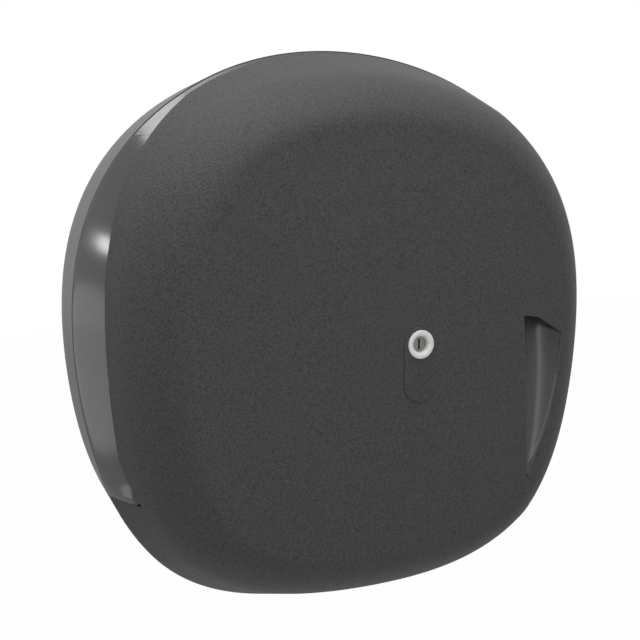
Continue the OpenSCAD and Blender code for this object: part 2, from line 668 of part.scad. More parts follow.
rear_case();
window_left();
window_right();
window_screws();
hub_spindle();
spindle_screws();
brake_washer();
lock_keeper();
keeper_screw();
hinge_bracket_upper();
hinge_bracket_lower();
hinge_pin_upper();
hinge_pin_lower();
bracket_screws();
paper_guide();
guide_screws();
tear_bar_left();
tear_bar_right();
tear_bar_screws();
roll_sleeve();
roll_disc();
front_cover();
grip_insert();
lock_plate();
lock_collar();
lock_nut();
hinge_arm_upper();
hinge_arm_lower();
arm_screws();
lock_barrel();
lock_cam();
cam_screw();
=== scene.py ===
"""Looks for the wall-mounted jumbo toilet roll dispenser: finely moulded skins, real finishes, soft light."""

import json
import math

import bmesh
import bpy
from mathutils import Matrix, Vector


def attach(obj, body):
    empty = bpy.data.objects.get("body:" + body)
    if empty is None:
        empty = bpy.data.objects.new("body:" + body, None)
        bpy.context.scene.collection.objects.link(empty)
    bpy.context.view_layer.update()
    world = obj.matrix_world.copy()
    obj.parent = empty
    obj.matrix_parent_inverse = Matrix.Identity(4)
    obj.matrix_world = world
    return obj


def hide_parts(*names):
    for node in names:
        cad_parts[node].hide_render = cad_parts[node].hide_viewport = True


MM = 0.001
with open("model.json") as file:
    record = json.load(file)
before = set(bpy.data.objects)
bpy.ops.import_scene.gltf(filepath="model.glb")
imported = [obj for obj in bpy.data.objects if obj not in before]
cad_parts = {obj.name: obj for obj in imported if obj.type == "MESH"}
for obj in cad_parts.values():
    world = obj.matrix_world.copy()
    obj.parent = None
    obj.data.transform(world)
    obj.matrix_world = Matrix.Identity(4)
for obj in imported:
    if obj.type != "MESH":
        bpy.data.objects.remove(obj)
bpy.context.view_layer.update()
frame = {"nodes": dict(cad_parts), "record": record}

# ---- Sizes of the moulded skins, in mm, as in the part's source ---------------------------------
BODY_W, BODY_H, BODY_D, WALL = 368, 378, 135, 2.6
SQUARENESS, HIGH_HIPS, LOW_CORNERS = 0.025, 0.0077, -0.0026
CROWN, ROUND_W, ROUND_D, SIDE_SLOPE, DRAFT = 4, 23, 37, 0.36, 0.08
EDGE_MID, EDGE_BOW, EDGE_FLARE, FLARE_SPAN = 85.5, 31, 11, 0.19
CREASE_MID, CREASE_RISE, CREASE_BOW = 51, -3.5, 13
SKIRT_GAP, LIP, SNUG = 0.5, 6, 0.15
CHIN_DEPTH, CHIN_Z = 8.5, 98
WINDOW_TOP, WINDOW_FOOT, WINDOW_REVEAL = 131, -98.15, 0.1
SLOT_HALF, SLOT_LIP = 62, 2
FACE_RIM = BODY_D - CROWN
ROUND_START = FACE_RIM - ROUND_D
OVERLAP = WALL + SKIRT_GAP
CHIN_TOP = -CHIN_Z - SKIRT_GAP
LOCK_X, LOCK_RISE = 18.5, 0.8
LOCK_BORE = 7.05           # radius of the hole that the lock's collar passes through
ARM_SCREWS_X, ARM_Z = (-116, -108.5), 106
CROWN_POWER = 2.6          # how late the face falls away from its middle
REAR_ROUND, REAR_ROUND_IN = 4, 2    # depth of the case's rounded back rim, and how far it draws in
HALVINGS, AIM_STEPS = 28, 4    # steps of the two kinds of search for a point on a skin


# ---- The outline and the side profile -----------------------------------------------------------
def wave(t):
    a = math.radians(t)
    return 1 - SQUARENESS * math.cos(4 * a) + HIGH_HIPS * math.cos(5 * a) + LOW_CORNERS * math.cos(3 * a)


DEGREES = range(360)
HALF_X = max(wave(t) * math.sin(math.radians(t)) for t in DEGREES)
TOP_Z = max(wave(t) * math.cos(math.radians(t)) for t in DEGREES)
LOW_Z = min(wave(t) * math.cos(math.radians(t)) for t in DEGREES)


def outline(t):
    """The widest outline at an angle that runs clockwise from the top, as x and z."""
    a = math.radians(t)
    return Vector((
        BODY_W / 2 / HALF_X * wave(t) * math.sin(a),
        BODY_H / (TOP_Z - LOW_Z) * (wave(t) * math.cos(a) - (TOP_Z + LOW_Z) / 2),
    ))


def station(t, inset, share=1.0):
    """A point square in from the outline, or a share of the way out to it from the middle."""
    along = (outline(t + 0.5) - outline(t - 0.5)).normalized()
    return share * (outline(t) + inset * Vector((along.y, -along.x)))


def height(t):
    return outline(t).y / (BODY_H / 2)


def edge_bowed(h):
    return EDGE_MID - EDGE_BOW * h * h


def edge(t):
    """Depth of the cover's rear edge."""
    h = height(t)
    rise = clamped((-h - CHIN_Z / (BODY_H / 2) + FLARE_SPAN) / FLARE_SPAN)
    return edge_bowed(h) + EDGE_FLARE * rise * rise


def crease(t):
    """Depth of the line where the body is widest."""
    h = height(t)
    return min(CREASE_MID + CREASE_RISE * h + CREASE_BOW * h * h, edge_bowed(h) - LIP)


def clamped(value):
    return min(max(value, 0), 1)


def quarter(u):
    """How far a quarter round has fallen at a share of its width."""
    return 1 - math.sqrt(1 - clamped(u) ** 2)


def cover_inset(t, d):
    """How far the cover's outer skin lies in from the outline at a depth."""
    c = crease(t)
    slopes = DRAFT * max(0, c - d) + SIDE_SLOPE * max(0, d - c)
    return slopes + ROUND_W * quarter((d - ROUND_START) / ROUND_D)


def case_inset(t, d):
    """The same for the case and the windows, which run in under the cover's edge."""
    c, e = crease(t), edge(t)
    if d <= c:
        return cover_inset(t, d)
    if d <= e:
        return (cover_inset(t, e) + OVERLAP) * (d - c) / (e - c)
    return cover_inset(t, d) + OVERLAP


def crowned(share):
    """Depth of the crowned face at a share of the way out to its rim."""
    return BODY_D - CROWN * share ** CROWN_POWER


def rear_round(d):
    return REAR_ROUND_IN * (1 - min(d / REAR_ROUND, 1)) ** 2


def spot(t, inset, depth, share=1.0):
    """A point on a skin, in metres."""
    x, z = station(t, inset, share)
    return Vector((x, -depth, z)) * MM


def solve(value, low, high):
    """Where a value that is positive at low and negative at high passes zero."""
    for _ in range(HALVINGS):
        mid = (low + high) / 2
        low, high = (mid, high) if value(mid) > 0 else (low, mid)
    return (low + high) / 2


def cover_depth(x, z):
    """Depth of the cover's outer skin in front of a point of the wall plane."""
    reach, way = math.hypot(x, z), math.atan2(x, z)
    t = math.degrees(way) % 360
    for _ in range(AIM_STEPS + 1):
        s = station(t, cover_inset(t, FACE_RIM))
        off = (way - math.atan2(s.x, s.y) + math.pi) % (2 * math.pi) - math.pi
        t += math.degrees(off)
    share = reach / s.length
    if share <= 1:
        return crowned(share)
    return solve(lambda d: station(t, cover_inset(t, d)).length - reach, crease(t), FACE_RIM)


# ---- Making and finishing pieces ----------------------------------------------------------------
WELD = 2e-6                # metres within which points are one
NEAR = 1e-6


def everything(bm):
    return list(bm.verts) + list(bm.edges) + list(bm.faces)


def verts_of(geom):
    return {v for v in geom if isinstance(v, bmesh.types.BMVert)}


def halved(bm, point, way, geom=None, clear=True):
    """Cuts a mesh by a plane through a point of the wall plane, and clears what lies the plane's way."""
    bmesh.ops.bisect_plane(
        bm, geom=geom or everything(bm), dist=1e-7, plane_co=Vector((point[0], 0, point[1])) * MM,
        plane_no=(way[0], 0, way[1]), clear_outer=clear,
    )


def finished(name, bm, body, material, node=None, sharp=32, smooth=True):
    """Turns a bmesh into a piece that rides on a body and may stand for CAD nodes."""
    mesh = bpy.data.meshes.new(name)
    for e in bm.edges:
        if len(e.link_faces) == 2 and e.calc_face_angle(0) > math.radians(sharp):
            e.smooth = False
    for f in bm.faces:
        f.smooth = smooth
    bm.to_mesh(mesh)
    bm.free()
    if "custom_normal" in mesh.attributes:
        mesh.attributes.remove(mesh.attributes["custom_normal"])
    piece = bpy.data.objects.new(name, mesh)
    bpy.context.scene.collection.objects.link(piece)
    mesh.materials.clear()
    mesh.materials.append(material)
    for f in mesh.polygons:
        f.material_index = 0
    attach(piece, body)
    if node:
        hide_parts(*([node] if isinstance(node, str) else node))
    return piece


def lofted(sections):
    """A mesh through sections of equally many points, extruded from one to the next."""
    bm = bmesh.new()
    row = [bm.verts.new(p) for p in sections[0]]
    edges = [bm.edges.new((a, b)) for a, b in zip(row, row[1:])]
    for section in sections[1:]:
        grown = bmesh.ops.extrude_edge_only(bm, edges=edges)["geom"]
        fresh = verts_of(grown)
        following = []
        for v, p in zip(row, section):
            w = next(e.other_vert(v) for e in v.link_edges if e.other_vert(v) in fresh)
            w.co = p
            following.append(w)
        edges = [
            next(e for e in a.link_edges if e.other_vert(a) is b) for a, b in zip(following, following[1:])
        ]
        row = following
    return bm


def closed_up(bm):
    """Welds a mesh, fills what is open and turns its faces outwards."""
    bmesh.ops.remove_doubles(bm, verts=bm.verts, dist=NEAR)
    bmesh.ops.dissolve_degenerate(bm, edges=bm.edges, dist=NEAR)
    rims = [e for e in bm.edges if e.is_boundary]
    if rims:
        bmesh.ops.holes_fill(bm, edges=rims, sides=0)
    bmesh.ops.recalc_face_normals(bm, faces=bm.faces)


def mirrored(bm):
    """Adds the other half across the middle plane and welds the two."""
    bmesh.ops.mirror(bm, geom=everything(bm), merge_dist=WELD, axis="X")
    bmesh.ops.remove_doubles(bm, verts=bm.verts, dist=WELD)


def box_into(bm, low, high):
    """A block between two corners given as x, depth, z in mm."""
    size = Vector((high[0] - low[0], high[1] - low[1], high[2] - low[2])) * MM
    middle = Vector((low[0] + high[0], -low[1] - high[1], low[2] + high[2])) * MM / 2
    place = Matrix.Translation(middle) @ Matrix.Diagonal((*size, 1))
    return bmesh.ops.create_cube(bm, size=1, matrix=place)["verts"]


def upright(x, depth, z):
    """Stands a flat shape parallel to the wall at a place given in mm."""
    return Matrix.Translation(Vector((x, -depth, z)) * MM) @ Matrix.Rotation(math.pi / 2, 4, "X")


def bar_into(bm, x, z, r, d0, d1, segments=48):
    """A round bar along the depth, from depth d0 to depth d1, in mm."""
    return bmesh.ops.create_cone(
        bm, cap_ends=True, segments=segments, radius1=r * MM, radius2=r * MM, depth=(d1 - d0) * MM,
        matrix=upright(x, (d0 + d1) / 2, z),
    )["verts"]


def turned(profile, x, z, segments=96):
    """A ring spun about a line along the depth, from a closed profile of radius and depth in mm."""
    bm = bmesh.new()
    row = [bm.verts.new(Vector((x + r, -d, z)) * MM) for r, d in profile]
    edges = [bm.edges.new((a, b)) for a, b in zip(row, row[1:] + row[:1])]
    bmesh.ops.spin(
        bm, geom=row + edges, cent=Vector((x, 0, z)) * MM, axis=(0, 1, 0), angle=2 * math.pi,
        steps=segments, use_merge=True,
    )
    bmesh.ops.remove_doubles(bm, verts=bm.verts, dist=NEAR)
    bmesh.ops.recalc_face_normals(bm, faces=bm.faces)
    return bm


# ---- Finishes -----------------------------------------------------------------------------------
def linear(code):
    """An sRGB hex colour as linear red, green, blue and alpha."""
    parts = [int(code[i:i + 2], 16) / 255 for i in (1, 3, 5)]
    return [c / 12.92 if c <= 0.04045 else ((c + 0.055) / 1.055) ** 2.4 for c in parts] + [1]


def add(tree, kind, settings=None, **inputs):
    """Adds a node with its settings; an input is a value or another node's output."""
    node = tree.nodes.new(kind)
    for key, value in (settings or {}).items():
        setattr(node, key, value)
    for key, value in inputs.items():
        socket = node.inputs[int(key[1:])] if key[0] == "_" else node.inputs[key.replace("_", " ")]
        if isinstance(value, bpy.types.NodeSocket):
            tree.links.new(value, socket)
        else:
            socket.default_value = value
    return node


def calculated(tree, operation, a, b):
    """The result of a sum on two values or outputs."""
    return add(tree, "ShaderNodeMath", {"operation": operation}, _0=a, _1=b).outputs[0]


def finish(name, **values):
    """A material with one Principled shader; returns it with its tree, shader and object coordinates."""
    material = bpy.data.materials.new(name)
    material.use_nodes = True
    tree = material.node_tree
    shader = tree.nodes["Principled BSDF"]
    for key, value in values.items():
        shader.inputs[key.replace("_", " ")].default_value = value
    return material, tree, shader, add(tree, "ShaderNodeTexCoord").outputs["Object"]


def mottled(tree, coords, dark, light, size_mm, detail=3):
    """A colour that wanders between two tones over patches of about size_mm."""
    noise = add(tree, "ShaderNodeTexNoise", Vector=coords, Scale=1 / (size_mm * MM), Detail=detail)
    ramp = add(tree, "ShaderNodeValToRGB", Fac=noise.outputs["Fac"])
    ramp.color_ramp.elements[0].position, ramp.color_ramp.elements[1].position = 0.32, 0.68
    ramp.color_ramp.elements[0].color, ramp.color_ramp.elements[1].color = linear(dark), linear(light)
    return ramp.outputs["Color"]


def bumped(tree, shader, height_socket, depth_mm, strength):
    """Raises a surface by a pattern, depth_mm from its lowest to its highest."""
    bump = add(tree, "ShaderNodeBump", Height=height_socket, Distance=depth_mm * MM, Strength=strength)
    tree.links.new(bump.outputs["Normal"], shader.inputs["Normal"])


def leather_grained_abs():
    """ABS moulded in an etched tool: charcoal, dull, with pebbles about a millimetre across; its colour is
    painted darker between the pebbles as painted shade and lighter on their tops as painted highlight.
    """
    material, tree, shader, coords = finish(
        "leather_grained_abs", Roughness=0.58, IOR=1.53, Specular_IOR_Level=0.14
    )
    cells = add(
        tree, "ShaderNodeTexVoronoi", {"feature": "SMOOTH_F1"},
        Vector=coords, Scale=1 / (1.15 * MM), Smoothness=0.4,
    )
    hide = add(tree, "ShaderNodeTexNoise", Vector=coords, Scale=1 / (1.5 * MM), Detail=3, Roughness=0.6)
    lift = calculated(tree, "MULTIPLY", hide.outputs["Fac"], 1.1)
    grain = calculated(tree, "SUBTRACT", lift, cells.outputs["Distance"])
    bumped(tree, shader, grain, 0.26, 0.85)
    # The grain's height also sets the colour: darker between the pebbles is painted shade, lighter on their
    # tops is painted highlight.
    painted_grain_shade = add(tree, "ShaderNodeMapRange", Value=grain, From_Min=-0.35, From_Max=0.45)
    mix = add(tree, "ShaderNodeMix", {"data_type": "RGBA"}, Factor=painted_grain_shade.outputs[0])
    mix.inputs[6].default_value, mix.inputs[7].default_value = linear("#38383A"), linear("#4C4C4E")
    tree.links.new(mix.outputs[2], shader.inputs["Base Color"])
    return material


def satin_abs():
    """ABS from a polished tool: charcoal with a soft sheen and a faint ripple of flow."""
    material, tree, shader, coords = finish("satin_abs", Roughness=0.42, IOR=1.53, Specular_IOR_Level=0.24)
    tree.links.new(mottled(tree, coords, "#38383A", "#3D3D3F", 24), shader.inputs["Base Color"])
    flow = add(tree, "ShaderNodeTexNoise", Vector=coords, Scale=1 / (9 * MM), Detail=2)
    bumped(tree, shader, flow.outputs["Fac"], 0.05, 0.3)
    return material


def polished_abs_painted_light():
    """The case's brow over each window: the same ABS, polished to a bright gloss, with its colour painted a
    shade lighter than the satin case's as painted light from above.
    """
    material, tree, shader, coords = finish("polished_abs_painted_light", Roughness=0.2, IOR=1.53)
    # Painted light: these tones are a little lighter than the satin case's, for the brow that faces the top
    # lamps.
    tree.links.new(mottled(tree, coords, "#3C3C3E", "#414143", 24), shader.inputs["Base Color"])
    flow = add(tree, "ShaderNodeTexNoise", Vector=coords, Scale=1 / (14 * MM), Detail=1)
    bumped(tree, shader, flow.outputs["Fac"], 0.05, 0.2)
    return material


def smoked_plastic(name, roughness):
    """Smoke-dark SAN, polished or finely etched: near black, with faint flow lines."""
    material, tree, shader, coords = finish(name, Roughness=roughness, IOR=1.57, Specular_IOR_Level=0.5)
    tree.links.new(mottled(tree, coords, "#2E2E30", "#323234", 40), shader.inputs["Base Color"])
    flow = add(tree, "ShaderNodeTexNoise", Vector=coords, Scale=1 / (30 * MM), Detail=1)
    bumped(tree, shader, flow.outputs["Fac"], 0.08, 0.2)
    return material


def white_acetal():
    """Moulded acetal: clean white and slightly waxy."""
    material, tree, shader, coords = finish(
        "white_acetal", Roughness=0.3, IOR=1.48, Subsurface_Weight=0.08, Subsurface_Scale=0.001
    )
    tree.links.new(mottled(tree, coords, "#D6D6D4", "#DEDEDC", 4), shader.inputs["Base Color"])
    return material


def natural_nylon():
    """Moulded nylon: milky white and dull."""
    material, tree, shader, coords = finish("natural_nylon", Roughness=0.45, IOR=1.53)
    tree.links.new(mottled(tree, coords, "#C9C7BE", "#D2D0C8", 6), shader.inputs["Base Color"])
    return material


def cast_zinc():
    """Die-cast zinc, tumbled: mid grey with a dull, slightly pitted shine."""
    material, tree, shader, coords = finish("cast_zinc", Metallic=1.0, Roughness=0.42)
    tree.links.new(mottled(tree, coords, "#6F6F6B", "#858580", 0.8), shader.inputs["Base Color"])
    pits = add(tree, "ShaderNodeTexNoise", Vector=coords, Scale=1 / (0.5 * MM), Detail=2)
    bumped(tree, shader, pits.outputs["Fac"], 0.03, 0.5)
    return material


def zinc_plated_steel():
    """Pressed steel with bright zinc: cool grey, satin, with cloudy passivation."""
    material, tree, shader, coords = finish("zinc_plated_steel", Metallic=1.0, Roughness=0.34)
    tree.links.new(mottled(tree, coords, "#A4A8AC", "#BCBFC2", 7, 4), shader.inputs["Base Color"])
    grain = add(tree, "ShaderNodeTexNoise", Vector=coords, Scale=1 / (1.2 * MM), Detail=3)
    bumped(tree, shader, grain.outputs["Fac"], 0.02, 0.5)
    return material


def brushed_stainless():
    """Stainless steel brushed along the depth: bright, with fine lines a fifth of a millimetre apart."""
    material, tree, shader, coords = finish("brushed_stainless", Metallic=1.0, Roughness=0.3)
    drawn = add(tree, "ShaderNodeMapping", Vector=coords, Scale=(1, 0.03, 1))
    lines = add(tree, "ShaderNodeTexNoise", Vector=drawn.outputs[0], Scale=1 / (0.2 * MM), Detail=2)
    ramp = add(tree, "ShaderNodeMapRange", Value=lines.outputs["Fac"], To_Min=0.24, To_Max=0.4)
    tree.links.new(ramp.outputs[0], shader.inputs["Roughness"])
    tree.links.new(mottled(tree, coords, "#BDBDBB", "#CBCBC9", 10), shader.inputs["Base Color"])
    bumped(tree, shader, lines.outputs["Fac"], 0.01, 0.4)
    return material


def pressed_felt():
    """Pressed wool felt: dark, dead matt, with tangled fibres."""
    material, tree, shader, coords = finish(
        "pressed_felt", Roughness=0.95, Sheen_Weight=0.3, Sheen_Roughness=0.5
    )
    tree.links.new(mottled(tree, coords, "#2C2C2A", "#44443F", 0.7, 6), shader.inputs["Base Color"])
    fibres = add(tree, "ShaderNodeTexNoise", Vector=coords, Scale=1 / (0.4 * MM), Detail=6)
    bumped(tree, shader, fibres.outputs["Fac"], 0.15, 0.8)
    return material


GRAINED, SATIN, POLISHED_PAINTED_LIGHT = leather_grained_abs(), satin_abs(), polished_abs_painted_light()
SMOKED, DISHED = smoked_plastic("smoked_plastic", 0.16), smoked_plastic("smoked_plastic_dish", 0.42)
ACETAL, NYLON, ZINC = white_acetal(), natural_nylon(), cast_zinc()
PLATED, STAINLESS, FELT = zinc_plated_steel(), brushed_stainless(), pressed_felt()
FINISHES = {
    "case_plastic": SATIN, "cover_plastic": GRAINED, "smoked_plastic": SMOKED,
    "white_acetal": ACETAL, "natural_nylon": NYLON, "felt": FELT,
    "lock_core": ZINC, "zinc_steel": PLATED, "stainless_steel": STAINLESS,
}

# ---- The cover's shell --------------------------------------------------------------------------
STEPS = 1.5                # degrees between stations
SHARES = [0.03, 0.1, 0.18, 0.27, 0.36, 0.45, 0.54, 0.63, 0.72, 0.8, 0.87, 0.93, 0.97]
ROUNDING = 24              # rings from the skirt's edge to the face
RIM, RIM_TURN = 0.5, 0.15  # rounding of the rear rim, and where its corner is broken
BEND = 1.2                 # how close to the crease the rings stand
MIDDLE = 2e-6              # metres from the middle plane that count as on it
CHIN_RANGE, SLOT_RANGE = (90, 150), (120, 179.9)    # angles between which the corners are looked for
CHIN_HOLD, SLOT_HOLD = 6, 4                         # degrees over which the chin is held back at them


def chin_angle(depth, thick=0):
    """Where the chin's flat top meets the outer or inner skin at a depth."""
    return solve(lambda t: station(t, cover_inset(t, depth) + thick).y - CHIN_TOP, *CHIN_RANGE)


def slot_angle(depth, thick=0):
    """Where the side of the paper slot meets the outer or inner skin at a depth."""
    return solve(lambda t: station(t, cover_inset(t, depth) + thick).x - SLOT_HALF, *SLOT_RANGE)


T_CHIN = solve(lambda t: outline(t).y + CHIN_Z, *CHIN_RANGE)
SLOT_FRONT = crease(180) - SLOT_LIP
T_SLOT = slot_angle(SLOT_FRONT)


def held(t, d, zone, last, thick):
    """Keeps a point of the chin under its flat top, and out of the paper slot."""
    e = edge(t)
    if zone == "skirt" and last and d <= e:
        return chin_angle(d, thick)
    if zone == "chin":
        if d <= e and t < T_CHIN + CHIN_HOLD:
            t = max(t, chin_angle(d, thick))
        if d <= SLOT_FRONT and t > T_SLOT - SLOT_HOLD:
            t = min(t, slot_angle(d, thick))
    if zone == "slot" and last and d <= SLOT_FRONT:
        return slot_angle(d, thick)
    return t


def cover_half_section(t, zone, last=False):
    """From the middle of the face out to the rear rim and back along the inside of the wall."""
    c, e = crease(t), edge(t)
    rear = {"skirt": e, "chin": CHIN_DEPTH, "slot": SLOT_FRONT}[zone]
    depths = [CHIN_DEPTH, 20, 33, SLOT_FRONT, c - BEND, c, c + BEND, (c + e) / 2, e]
    depths = [max(d, rear) for d in depths]

    def line(thick):
        front = FACE_RIM - thick
        rings = [math.sin(math.radians(90 * i / ROUNDING)) for i in range(1, ROUNDING + 1)]
        points = [(held(t, d, zone, last, thick), d, 0) for d in depths]
        points[0] = (points[0][0], depths[0] + RIM, 0)
        points += [(t, e + (front - e) * p, thick * p) for p in rings]
        skin = [spot(a, cover_inset(a, d + lag) + thick, d) for a, d, lag in points]
        whole = cover_inset(t, FACE_RIM) + thick
        return skin + [spot(t, whole, crowned(s) - thick, s) for s in reversed(SHARES)]

    def rim(across, back):
        a = held(t, rear, zone, last, across)
        return spot(a, cover_inset(a, rear) + across, rear + back)

    turn = [rim(RIM_TURN, RIM_TURN), rim(RIM, 0), rim(WALL - RIM, 0), rim(WALL - RIM_TURN, RIM_TURN)]
    return line(0)[::-1] + turn + line(WALL)


GRIP_LEFT, GRIP_TOP, GRIP_FOOT = 107, 13.5, -98.5
GRIP_CORNER, GRIP_BEND = (-7.4, 0), (4.4, -1.6)    # from there to the top left corner and the bend after it
GRIP_ARC, GRIP_ARC_STATIONS = 80, 41               # first angle of the right side's stations, and how many
OVER_FOOT, UNDER_TOP, PAST_LEFT = 4, 11.5, 1       # how far those used lie inside the other sides
GRIP_GROW = 0.7            # how much larger the cover's opening is than the recess
FACE_SIDE = -0.09          # metres along y in front of which the face is cut
CUT_MARGIN = 7             # mm past each end of a cut's side that are cut with it


def grip_outline():
    """The recess's outline on the cover's face, as x and z, clockwise from the top left."""
    inset = ROUND_W + SIDE_SLOPE * (FACE_RIM - CREASE_MID)
    low, high = GRIP_FOOT + OVER_FOOT, GRIP_TOP - UNDER_TOP
    side = [station(GRIP_ARC + STEPS * i, inset) for i in range(GRIP_ARC_STATIONS)]
    side = [s for s in side if low < s.y < high and s.x > GRIP_LEFT + PAST_LEFT]
    corners = [Vector((GRIP_LEFT + x, GRIP_TOP + z)) for x, z in (GRIP_CORNER, GRIP_BEND)]
    return [*corners, *side, Vector((GRIP_LEFT, GRIP_FOOT))]


def ring_loop(r, count=40):
    """A circle about the lock's axis, as x and z."""
    turns = [2 * math.pi * i / count for i in range(count)]
    return [Vector((LOCK_X + r * math.sin(a), r * math.cos(a))) for a in turns]


def outward(a, b, middle):
    """Unit normal of a side, pointing away from the middle of its loop."""
    out = Vector((b.y - a.y, a.x - b.x)).normalized()
    return out if out.dot(middle - a) < 0 else -out


def sides_of(loop):
    return zip(loop, loop[1:] + loop[:1])


def face_middles(bm):
    """The faces at the front, each with its middle as x and z in mm."""
    middles = [(f, f.calc_center_median()) for f in bm.faces]
    return [(f, Vector((p.x, p.z)) / MM) for f, p in middles if p.y < FACE_SIDE]


def cut_opening(bm, loop, grow):
    """Cuts the skin along a loop of straight sides, seen from the front, and takes out its inside."""
    middle = sum(loop, Vector((0, 0))) / len(loop)
    sides = []
    for a, b in sides_of(loop):
        out = outward(a, b, middle)
        sides.append((a + out * grow, b + out * grow, out))
    for a, b, out in sides:
        reach = (b - a).length / 2 + CUT_MARGIN
        near = [f for f, q in face_middles(bm) if (q - (a + b) / 2).length < reach]
        geom = list({v for f in near for v in f.verts}) + list({e for f in near for e in f.edges}) + near
        halved(bm, a, out, geom, clear=False)
    inside = [f for f, q in face_middles(bm) if all((q - a).dot(out) < 0 for a, b, out in sides)]
    bmesh.ops.delete(bm, geom=inside, context="FACES")
    rims = [e for e in bm.edges if e.is_boundary]
    bmesh.ops.bridge_loops(bm, edges=rims)


def cover_shell():
    """The cover's domed shell with its chin, paper slot and two openings."""
    stations = []
    for zone, first, last in (("skirt", 0, T_CHIN), ("chin", T_CHIN, T_SLOT), ("slot", T_SLOT, 180)):
        stations.append((first, zone, first > 0))
        t = first + STEPS
        while t < last - STEPS / 2:
            stations.append((t, zone, False))
            t += STEPS
        stations.append((last, zone, last < 180))
    bm = lofted([cover_half_section(*s) for s in stations])
    for v in bm.verts:
        if abs(v.co.x) < MIDDLE:
            v.co.x = 0
    mirrored(bm)
    closed_up(bm)
    cut_opening(bm, grip_outline(), GRIP_GROW)
    cut_opening(bm, ring_loop(LOCK_BORE), 0)
    bmesh.ops.recalc_face_normals(bm, faces=bm.faces)
    return bm


finished("cover_skin", cover_shell(), "cover", GRAINED, "front_cover", sharp=40)


BOSS_R, BOSS_BACK, WEB_HALF = 4.2, 100, 1.5
LOCK_BOSS = [(LOCK_BORE, 130.4), (13, 130.4), (13, 133.4), (LOCK_BORE, 133.4)]
RIB_BACK, RIB_HALF, RIB_PIECES = 125, 1, 24
RIBS_LEVEL, RIBS_UPRIGHT = (-92, 90, (-60, 60)), (-104, 104, (-60, 60))    # ends, and where they stand
RISE = 5                   # mm of a rib or boss before its front is drawn out to the skin
ROOT = 0.6                 # share of the cover's wall above a rib's or boss's end


def run_to_skin(verts):
    """Ends the front of a boss or rib inside the cover's wall."""
    front = min(v.co.y for v in verts)
    for v in verts:
        if v.co.y < front + NEAR:
            v.co.y = (ROOT * WALL - cover_depth(v.co.x / MM, v.co.z / MM)) * MM


def rib_into(bm, low, high):
    """A thin rib in short lengths, so that it can follow the cover's skin."""
    along = 0 if high[0] - low[0] > high[2] - low[2] else 2
    for i in range(RIB_PIECES):
        a, b = list(low), list(high)
        a[along] = low[along] + (high[along] - low[along]) * i / RIB_PIECES
        b[along] = low[along] + (high[along] - low[along]) * (i + 1) / RIB_PIECES
        run_to_skin(box_into(bm, a, b))


def cover_ribs():
    """Screw bosses with their webs, the lock's boss and the stiffening ribs inside the cover."""
    bm = turned(LOCK_BOSS, LOCK_X, 0, 48)
    left, right = ARM_SCREWS_X
    for z in (-ARM_Z, ARM_Z):
        for x in ARM_SCREWS_X:
            run_to_skin(bar_into(bm, x, z, BOSS_R, BOSS_BACK, BOSS_BACK + RISE))
        web = (left, BOSS_BACK, z - WEB_HALF), (right, BOSS_BACK + RISE, z + WEB_HALF)
        run_to_skin(box_into(bm, *web))
    first, last, levels = RIBS_LEVEL
    for z in levels:
        rib_into(bm, (first, RIB_BACK, z - RIB_HALF), (last, RIB_BACK + RISE, z + RIB_HALF))
    first, last, places = RIBS_UPRIGHT
    for x in places:
        rib_into(bm, (x - RIB_HALF, RIB_BACK, first), (x + RIB_HALF, RIB_BACK + RISE, last))
    return bm


finished("cover_ribs", cover_ribs(), "cover", GRAINED)


# ---- The case's outer skin ----------------------------------------------------------------------
SKIN = 0.9                 # thickness of the smooth skin over the case's own wall
SUNK = 0.45                # how far the case's own wall is drawn in under it
OVER_CORNER, BROW_END = 6, 56    # degrees the skins run past the chin's corner, and to the brow's end
ON_MIDDLE = 1e-5           # metres from the middle plane that count as on it for a strip


def on_middle(part):
    return all(abs(v.co.x) < ON_MIDDLE for v in part.verts)


def skin_strip(name, first, last, depths, cuts, material):
    """A thin closed strip of the case's outside between two angles, trimmed at level heights."""
    sections = []
    count = max(2, round((last - first) / STEPS))
    for i in range(count + 1):
        t = first + (last - first) * i / count
        line = depths(t)
        outer = [spot(t, case_inset(t, d) + rear_round(d), d) for d in line]
        inner = [spot(t, case_inset(t, d) + rear_round(d) + SKIN, d) for d in reversed(line)]
        sections.append(outer + inner + outer[:1])
    bm = lofted(sections)
    bmesh.ops.remove_doubles(bm, verts=bm.verts, dist=NEAR)
    for z, up in cuts:
        halved(bm, (0, z), (0, up))
    bmesh.ops.delete(bm, geom=[f for f in bm.faces if on_middle(f)], context="FACES")
    ends = [e for e in bm.edges if e.is_boundary and not on_middle(e)]
    bmesh.ops.holes_fill(bm, edges=ends, sides=0)
    mirrored(bm)
    closed_up(bm)
    return finished(name, bm, "case", material)


# Depths of the rings of the case's skins: those about the back rim, and those in front of it
BACK_RINGS, FLANK_RINGS, FOOT_RINGS = [0, 0.5, 1.1, 1.8, 2.7, 4], [14, 30], [5.4]


def flank_depths(t):
    return BACK_RINGS + FLANK_RINGS + [crease(t) - BEND, crease(t), crease(t) + WINDOW_REVEAL]


def brow_depths(t):
    c, e = crease(t), edge(t)
    return [c + 1, c + 4, (c + e) / 2, e - 3, e, e + 3, e + LIP]


def foot_depths(t):
    return BACK_RINGS + FOOT_RINGS


skin_strip("case_flank", 0, T_CHIN + OVER_CORNER, flank_depths, [(-CHIN_Z, -1)], SATIN)
skin_strip("case_brow", 0, BROW_END, brow_depths, [(WINDOW_TOP, -1)], POLISHED_PAINTED_LIGHT)
skin_strip("case_foot", T_CHIN - OVER_CORNER, 180, foot_depths, [(-CHIN_Z, 1)], SATIN)


